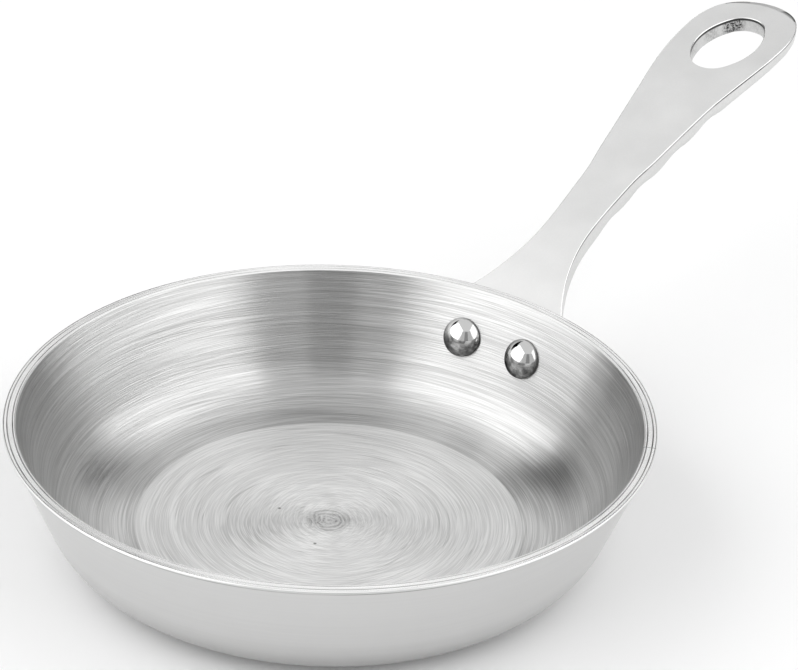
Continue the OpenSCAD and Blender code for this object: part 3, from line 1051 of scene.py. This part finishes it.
def dark_marks(w, place, radius, true, left):
    """Where the face is dark: scratches, the middle's deep rings, a patch and pits."""
    near = w.spread(radius, SWIRL_FROM, SWIRL_TO, 1.0, 0.0)
    wave = w.math("SINE", w.plus(w.times(left["Bands"], 11.0), radius, 2 * pi / SWIRL_STEP))
    wave = w.times(w.spread(wave, -1.0, 1.0), w.spread(true["Marks"], 0.3, 0.7, 0.15, 1.0))
    swirl = w.times(near, w.plus(0.12, wave, 0.55))
    patch = w.times(spot(w, place, RUBBED, 1.0, 9.0), w.spread(left["Marks"], 0.3, 0.6, 1.0, 0.0))
    dark = w.larger(w.times(left["Scratches"], 0.28), swirl)
    dark = w.larger(dark, w.times(patch, 0.35))
    for centre in PITS:
        dark = w.larger(dark, w.times(spot(w, place, centre, 0.2, 0.45), 0.8))
    return dark


print("small pits:", len(PITS))

# %% The way that the marks run
SWAY, SWAY_FULL = 1.8 * MM, 30 * MM


def along_the_rings(w, place, x, y, radius):
    """The marks' direction: round the axis, with a sway from streak to streak."""
    sway = w.spread(radius, 0.0, SWAY_FULL, 0.0, SWAY)
    sway_x = w.spread(w.noise(ring_space(w, place, 2900, 1.6), 1.0, 1.0), 0.3, 0.7, -1.0, 1.0)
    sway_y = w.spread(w.noise(ring_space(w, place, 2500, 1.9), 1.0, 1.0), 0.3, 0.7, -1.0, 1.0)
    along_x = w.math("MULTIPLY_ADD", sway_y, sway, w.times(y, -1.0))
    along_y = w.math("MULTIPLY_ADD", sway_x, sway, x)
    return w.add("ShaderNodeCombineXYZ", {0: along_x, 1: along_y, 2: 0.0}).outputs[0]


print("marks sway by up to", round(degrees(SWAY / SWAY_FULL), 1), "degrees")

# %% The wall's steel and the floor's steel
LEFT_SHIFT, RIGHT_SHIFT = (0.0026, -0.0018, 0.013), (-0.0034, 0.0031, 0.031)
QUARTER_TURN = 0.25


def turned_finish(name, stretch, roughness, dark_grey, pale_grey, fineness):
    """The cooking face's steel: streaks along the rings, in three families that cross."""
    material, w, shader, place = new_material(name)
    x, y, _, radius = w.parts(place)
    true = w.group(turned_rings, Place=place, Shift=(0, 0, 0), Fineness=fineness)
    left = w.group(turned_rings, Place=place, Shift=LEFT_SHIFT, Arc=0.8, Fineness=fineness)
    right = w.group(
        turned_rings, Place=place, Shift=RIGHT_SHIFT, Arc=0.7, Fineness=0.8 * fineness
    )
    marks = streaks(w, radius, true, left, right)
    tone = w.plus(marks, w.math("SUBTRACT", true["Bands"], 0.5), 0.10)
    colour = w.mix(tone, grey(dark_grey), grey(pale_grey))
    colour = w.mix(dark_marks(w, place, radius, true, left), colour, grey(DIRT_AND_SHADE_GREY))
    rough = w.spread(true["Bands"], 0.0, 1.0, roughness - 0.02, roughness + 0.02)
    relief = w.plus(marks, left["Scratches"], -0.6)
    bump = w.add("ShaderNodeBump", {"Strength": 0.6, "Distance": 0.04 * MM, "Height": relief})
    wire(
        w, shader, Base_Color=colour, Metallic=1.0, Roughness=rough, Normal=bump.outputs[0],
        Anisotropic=stretch, Anisotropic_Rotation=QUARTER_TURN,
        Tangent=along_the_rings(w, place, x, y, radius),
    )
    return material


wall_steel = turned_finish(
    "turned_wall", stretch=1.0, roughness=0.302, dark_grey=0.46, pale_grey=0.66, fineness=1.65
)
floor_steel = turned_finish(
    "turned_floor", stretch=0.55, roughness=0.47, dark_grey=0.66, pale_grey=0.84, fineness=1.6
)

# %% [markdown]
# ## The outside of the dish
# The outside is only brushed, so it shows a soft grey with faint rings. It is painted
# darker near the base, a painted reflection of the shaded floor close by, and a thin
# painted shadow lies under the lip. Both hang on the height alone, so they are mixed by
# height.

# %% Satin steel
OUTSIDE_GREY, OUTSIDE_PALE, BASE_SHADE_GREY = 0.635, 0.66, 0.28
DARK_BELOW = 13 * MM
LIP_FOOT = (RIM_HEIGHT - 0.87) * MM
LINE_HALF, LINE_FADE = 0.22 * MM, 0.42 * MM
outside_steel, w, shader, place = new_material("satin_outside")
rings = w.group(turned_rings, Place=place, Shift=(0, 0, 0.05), Fineness=0.7, Arc=0.6)
height = w.add("ShaderNodeSeparateXYZ", {0: place}).outputs[2]
colour = w.mix(rings["Marks"], grey(OUTSIDE_GREY), grey(OUTSIDE_PALE))
# Painted shade: darker towards the base, a painted reflection of the shaded floor.
colour = w.mix(w.spread(height, DARK_BELOW, 0.0, 0.0, 0.55), colour, grey(BASE_SHADE_GREY))
# A thin painted shadow under the lip, broken up by noise.
under_lip_shadow = w.spread(w.off(height, LIP_FOOT), LINE_HALF, LINE_FADE, 0.8, 0.0)
under_lip_shadow = w.times(under_lip_shadow, w.spread(w.noise(place, 40.0), 0.4, 0.6, 0.35, 1.0))
colour = w.mix(under_lip_shadow, colour, grey(DIRT_AND_SHADE_GREY))
rough = w.spread(rings["Bands"], 0.0, 1.0, 0.33, 0.37)
bump = {"Strength": 0.05, "Distance": 0.02 * MM, "Height": rings["Marks"]}
wire(
    w, shader, Base_Color=colour, Metallic=1.0, Roughness=rough,
    Normal=w.add("ShaderNodeBump", bump).outputs[0],
    Anisotropic=0.6, Anisotropic_Rotation=QUARTER_TURN,
    Tangent=w.add("ShaderNodeTangent", direction_type="RADIAL", axis="Z").outputs[0],
)

# %% [markdown]
# ## The ground rim
# The rim is ground flat, which shows the sheet's three layers with a fine dark line
# along each joint, fainter where it is wiped most, and one nick across. The lines could
# be gaps in the mesh, but those are too fine to show, so their dirt is in the finish.

# %% Ground steel and ground aluminium
NICK, WIPED = radians(-64.3), radians(215)
WIPED_FROM, WIPED_TO = 20 * MM, 60 * MM
LINE_SHIFT, LINE_CORE, LINE_EDGE = 0.06, 0.06 * MM, 0.17 * MM
NICK_CORE, NICK_EDGE = 0.05 * MM, 0.14 * MM
LINE_GREY = 0.05


def toward(w, x, y, turn):
    """How far a place lies toward a compass turn."""
    return w.plus(w.times(y, sin(turn)), x, cos(turn))


def rim_finish(name, dark_grey, pale_grey, roughness):
    """Metal ground round the rim, with a dark line along each joint and one nick across."""
    material, w, shader, place = new_material(name)
    rings = w.group(turned_rings, Place=place, Shift=(0, 0, 0.08), Fineness=1.4, Arc=2.5)
    x, y, _, radius = w.parts(place)
    worn = w.spread(w.noise(place, 55.0, 3.0, 0.6), 0.40, 0.58, 0.4, 1.0)
    worn = w.times(worn, w.spread(toward(w, x, y, WIPED), WIPED_FROM, WIPED_TO, 1.0, 0.3))
    dark = 0.0
    for depth in (INNER_JOINT, OUTER_JOINT):
        gap = w.off(radius, rim_at(depth + LINE_SHIFT) * MM)
        dark = w.larger(w.times(w.spread(gap, LINE_CORE, LINE_EDGE, 1.0, 0.0), worn), dark)
    across = w.math("ABSOLUTE", toward(w, x, y, NICK - pi / 2))
    side = w.math("GREATER_THAN", toward(w, x, y, NICK), 0.0)
    nick = w.times(w.spread(across, NICK_CORE, NICK_EDGE, 0.6, 0.0), side)
    colour = w.mix(rings["Marks"], grey(dark_grey), grey(pale_grey))
    colour = w.mix(w.larger(dark, nick), colour, grey(LINE_GREY))
    rounded = w.spread(w.facing_up(), 0.98, 0.86, 0.0, 0.38)
    ground = w.spread(rings["Bands"], 0.0, 1.0, roughness - 0.04, roughness + 0.04)
    rough = w.math("ADD", rounded, ground)
    wire(w, shader, Base_Color=colour, Metallic=1.0, Roughness=rough)
    return material


core_metal = rim_finish("ground_core", dark_grey=0.64, pale_grey=0.80, roughness=0.20)
rim_steel = rim_finish("ground_rim", dark_grey=0.66, pale_grey=0.82, roughness=0.18)

# %% [markdown]
# ## The cast handle
# The handle is blasted to an even satin, with bright rubbed edges, a fine line of painted
# shade under them, and a darkened wall in the eye. The shares kept on its points say
# where, and noise breaks them up.

# %% Colour of the casting
CAST_GREY, CAST_PALE, RUBBED_GREY = 0.67, 0.74, 0.80
EDGE_SHADE_GREY, EYE_WALL_GREY = 0.08, 0.04
EYE_DARK_SPOT = tuple(tilt @ (Vector((10.6, 4.5, -2.0)) * MM) / MM)
handle_steel, w, shader, place = new_material("blasted_handle")
grain = w.group(blasted_grain, Place=place, Size=1.0)
rubbed, eye_wall, edge_shade = (
    w.add("ShaderNodeAttribute", attribute_name=name).outputs["Fac"]
    for name in ("rubbed_edge", "eye_wall_share", "edge_shade_line")
)
side_face = w.spread(w.math("ABSOLUTE", w.facing_up()), 0.35, 0.75, 1.0, 0.0)
speckle = w.spread(grain["Grain"], 0.0, 1.0, -0.5, 0.5)
speckle_share = w.spread(side_face, 0.0, 1.0, 0.3, 1.2)
tone = w.math("MULTIPLY_ADD", speckle, speckle_share, w.times(grain["Clouds"], 0.6))
colour = w.mix(tone, grey(CAST_GREY), grey(CAST_PALE))
colour = w.mix(rubbed, colour, grey(RUBBED_GREY))
broken = w.larger(eye_wall, w.spread(grain["Clouds"], 0.2, 0.7, 0.6, 1.0))
# A line of painted shade under the top edge and at the top of the eye's wall.
colour = w.mix(w.times(edge_shade, broken), colour, grey(EDGE_SHADE_GREY))
# The eye's wall is darkened in mottled patches, darkest round one spot.
mottle = w.spread(w.noise(place, 1900.0, 3.0, 0.65), 0.42, 0.58)
eye_patches = w.spread(w.noise(place, 160.0, 2.0, 0.5), 0.4, 0.62, 0.05, 0.4)
eye_patches = w.larger(eye_patches, spot(w, place, EYE_DARK_SPOT, 2.0, 3.6))
eye_dark_share = w.times(eye_wall, w.times(eye_patches, w.spread(mottle, 0.0, 1.0, 0.25, 1.0)))
colour = w.mix(eye_dark_share, colour, grey(EYE_WALL_GREY))
# The eye's wall is darkest round this spot.
print("dark skin is thickest at", [round(v, 1) for v in EYE_DARK_SPOT], "mm")

# %% Roughness and relief of the casting
rough = w.plus(w.spread(grain["Clouds"], 0.0, 1.0, 0.50, 0.56), rubbed, -0.34)
relief = w.plus(grain["Grain"], w.times(eye_wall, mottle), 2.0)
relief = w.times(w.spread(side_face, 0.0, 1.0, 0.4, 1.0), relief)
bump = w.add("ShaderNodeBump", {"Strength": 0.30, "Distance": 0.03 * MM, "Height": relief})
wire(w, shader, Base_Color=colour, Metallic=1.0, Roughness=rough, Normal=bump.outputs[0])

# %% [markdown]
# ## The polished rivets
# The rivets are polished almost to a mirror. Their lower halves are painted dark, a
# painted reflection of the dark things below them, and a ring of painted shade lies at
# the foot of each head. It follows the distance to the wall, so it keeps its width all
# round the slanted head.

# %% Polished steel
RIVET_GREY, RIVET_PALE, LOWER_SHADE_GREY, FOOT_SHADE_GREY = 0.55, 0.63, 0.12, 0.16
FOOT_CORE, FOOT_EDGE = 0.2 * MM, 0.7 * MM
rivet_steel, w, shader, place = new_material("polished_rivet")
grain = w.group(blasted_grain, Place=place, Size=2.0)
x, y, z, radius = w.parts(place)
wall_here = w.plus(rim_at(SHEET, RIM_HEIGHT) * MM, z, tan(WALL_LEAN))
# A ring of painted shade at the foot of each head, where it meets the wall; the steel is rougher
# there too.
foot_shade = w.spread(w.math("SUBTRACT", wall_here, radius), FOOT_CORE, FOOT_EDGE, 1.0, 0.0)
# Painted shade: the half of each head that faces down is painted dark, a painted reflection.
painted_lower_shade = w.spread(w.facing_up(), 0.36, 0.0, 0.0, 0.9)
painted_lower_shade = w.times(painted_lower_shade, w.spread(w.noise(place, 700.0, 3.0, 0.6), 0.35, 0.62, 0.35, 1.0))
colour = w.mix(grain["Clouds"], grey(RIVET_GREY), grey(RIVET_PALE))
colour = w.mix(painted_lower_shade, colour, grey(LOWER_SHADE_GREY))
foot_shade_share = w.times(foot_shade, w.spread(grain["Grain"], 0.0, 1.0, 0.6, 1.0))
colour = w.mix(foot_shade_share, colour, grey(FOOT_SHADE_GREY))
rough = w.plus(w.spread(grain["Grain"], 0.0, 1.0, 0.05, 0.09), foot_shade, 0.2)
edge_tint = (0.15, 0.15, 0.15, 1.0)
wire(w, shader, Base_Color=colour, Metallic=1.0, Roughness=rough, Specular_Tint=edge_tint)

# %% [markdown]
# ## Dressing the pieces
# Every fine piece stands for one solid of the imported model, rides on the pan's body
# and takes the finish listed beside it.

# %% Put the finishes on
for piece, node, slot, finish in (
    (layers["cooking_face"], "inner_ply", "cooking_face_steel", wall_steel),
    (layers["core_layer"], "core_ply", "core_aluminium", core_metal),
    (layers["outside_layer"], "outer_ply", "outside_steel", outside_steel),
    (handle, "handle", "handle_steel", handle_steel),
    (rivets["left"], "rivet_left", "rivet_steel", rivet_steel),
    (rivets["right"], "rivet_right", "rivet_steel", rivet_steel),
):
    piece.data.materials.clear()
    piece.data.materials.append(finish)
    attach(piece, BODY)
    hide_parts(node)
print("dressed:", len(NODES), "solids")

# %% Give the rim and the floor their own steel
RIM_GROUND = 0.2
for piece in (layers["cooking_face"], layers["outside_layer"]):
    piece.data.materials.append(rim_steel)
    for polygon in piece.data.polygons:
        if polygon.center.z > (RIM_HEIGHT - RIM_GROUND) * MM:
            polygon.material_index = 1
face = layers["cooking_face"].data
face.materials.append(floor_steel)
for polygon in face.polygons:
    if polygon.center.xy.length < FLOOR_FINISH * MM:
        polygon.material_index = 2
print("floor faces:", sum(1 for polygon in face.polygons if polygon.material_index == 2))

# %% [markdown]
# ## The floor
# The pan stands on a pale round table, which shows its shadow and gives the metal
# something bright to mirror. It ends before the lamps, because the floor behind a lamp
# would be dark in a low view.

# %% A pale round floor
FLOOR_RADIUS, FLOOR_SIDES, FLOOR_DROP = 1.22, 96, 0.00005
edge = []
for s in range(FLOOR_SIDES):
    a = 2 * pi * s / FLOOR_SIDES
    edge.append(Vector((FLOOR_RADIUS * cos(a), FLOOR_RADIUS * sin(a), -FLOOR_DROP)))
floor = new_piece("floor", edge, [tuple(range(FLOOR_SIDES))])
floor_paint, w, shader, place = new_material("pale_floor")
wire(w, shader, Base_Color=(0.93, 0.93, 0.93, 1.0), Roughness=0.9)
floor.data.materials.append(floor_paint)

# %% [markdown]
# ## The room and its lamps
# The room is white to the camera and to reflections, and a little dimmer as a light, so
# that pale metal keeps its tone. Two broad soft boxes stand at the sides. Small lamps
# could light the pan too, but polished steel would show their shape.

# %% The white room
ROOM_GLOW = 0.66
world = bpy.data.worlds.new("room")
bpy.context.scene.world = world
w = emptied(world)
ray = w.add("ShaderNodeLightPath").outputs
seen = w.larger(w.larger(ray["Is Camera Ray"], ray["Is Glossy Ray"]), ray["Is Transmission Ray"])
strength = w.spread(seen, 0.0, 1.0, ROOM_GLOW, 1.0)
sky = w.add("ShaderNodeBackground", {"Color": (1, 1, 1, 1), "Strength": strength})
w.add("ShaderNodeOutputWorld", {"Surface": sky.outputs[0]})
print("room lights with a strength of", ROOM_GLOW)

# %% The soft boxes
VIEW_TURN = 55.03
BOX_WIDE, BOX_HIGH, BOX_LIFT, BOX_DISTANCE, BOX_AIM = 2.4, 1.9, 0.95, 1.3, 0.12


def soft_box(name, turn, glow):
    """A tall soft lamp that stands at a compass turn and faces the pan."""
    a = radians(turn - VIEW_TURN)
    lamp = bpy.data.objects.new(name, bpy.data.lights.new(name, "AREA"))
    lamp.data.shape = "RECTANGLE"
    lamp.data.size, lamp.data.size_y = BOX_WIDE, BOX_HIGH
    lamp.data.energy = glow * pi * BOX_WIDE * BOX_HIGH
    place = Vector((BOX_DISTANCE * cos(a), BOX_DISTANCE * sin(a), BOX_LIFT))
    lamp.location = place
    face = Vector((-place.x, -place.y, BOX_AIM - BOX_LIFT))
    lamp.rotation_euler = face.to_track_quat("-Z", "Y").to_euler()
    lamp.visible_camera = False
    bpy.context.scene.collection.objects.link(lamp)
    print(name, "at", [round(v, 2) for v in place], "m")


soft_box("left_soft_box", turn=195, glow=1.34)
soft_box("right_soft_box", turn=350, glow=1.02)

# %% [markdown]
# ## The cards
# In a room that is white all over, metal would look flat. Dark cards at the back and
# greyer ones behind the camera give the dark fans, and two bright windows at the back
# light the rim's flats. Only reflections see them, so they cast no shadow.

# %% Curved cards round the pan
CARD_STEPS = 16
CARDS = {
    "card_camera": dict(turns=(262, 282), lifts=(0.1, 55), glow=0.38),
    "card_front_left": dict(turns=(240, 262), lifts=(0.1, 55), glow=0.75),
    "card_front_right": dict(turns=(282, 307), lifts=(0.1, 55), glow=0.75),
    "card_back_left": dict(turns=(104, 147), lifts=(0.1, 43), glow=0.0),
    "card_back_right": dict(turns=(42, 80), lifts=(0.1, 43), glow=0.0),
    "card_back": dict(turns=(80, 104), lifts=(0.1, 43), glow=0.0),
    "window": dict(turns=(82, 98), lifts=(22, 43), glow=1.3, distance=1.03),
    "window_wide": dict(turns=(71, 110), lifts=(26, 36), glow=1.3, distance=1.02),
}


def card(name, turns, lifts, glow, distance=1.05):
    """A curved card round the pan, between two compass turns and two angles of rise."""
    points = []
    for s in range(CARD_STEPS + 1):
        a = radians(turns[0] + (turns[1] - turns[0]) * s / CARD_STEPS - VIEW_TURN)
        for lift in lifts:
            rise = distance * tan(radians(lift))
            points.append(Vector((distance * cos(a), distance * sin(a), rise)))
    faces = [(2 * s, 2 * s + 2, 2 * s + 3, 2 * s + 1) for s in range(CARD_STEPS)]
    piece = new_piece(name, points, faces)
    material = bpy.data.materials.new(name)
    w = emptied(material)
    shine = w.add("ShaderNodeEmission", {"Color": (1, 1, 1, 1), "Strength": glow})
    w.add("ShaderNodeOutputMaterial", {"Surface": shine.outputs[0]})
    piece.data.materials.append(material)
    piece.visible_camera = piece.visible_diffuse = piece.visible_shadow = False
    piece.visible_transmission = piece.visible_volume_scatter = False


for name, settings in CARDS.items():
    card(name, **settings)

# %% Plain colours
bpy.context.scene.view_settings.view_transform = "Standard"
print("colours are shown as they are written")
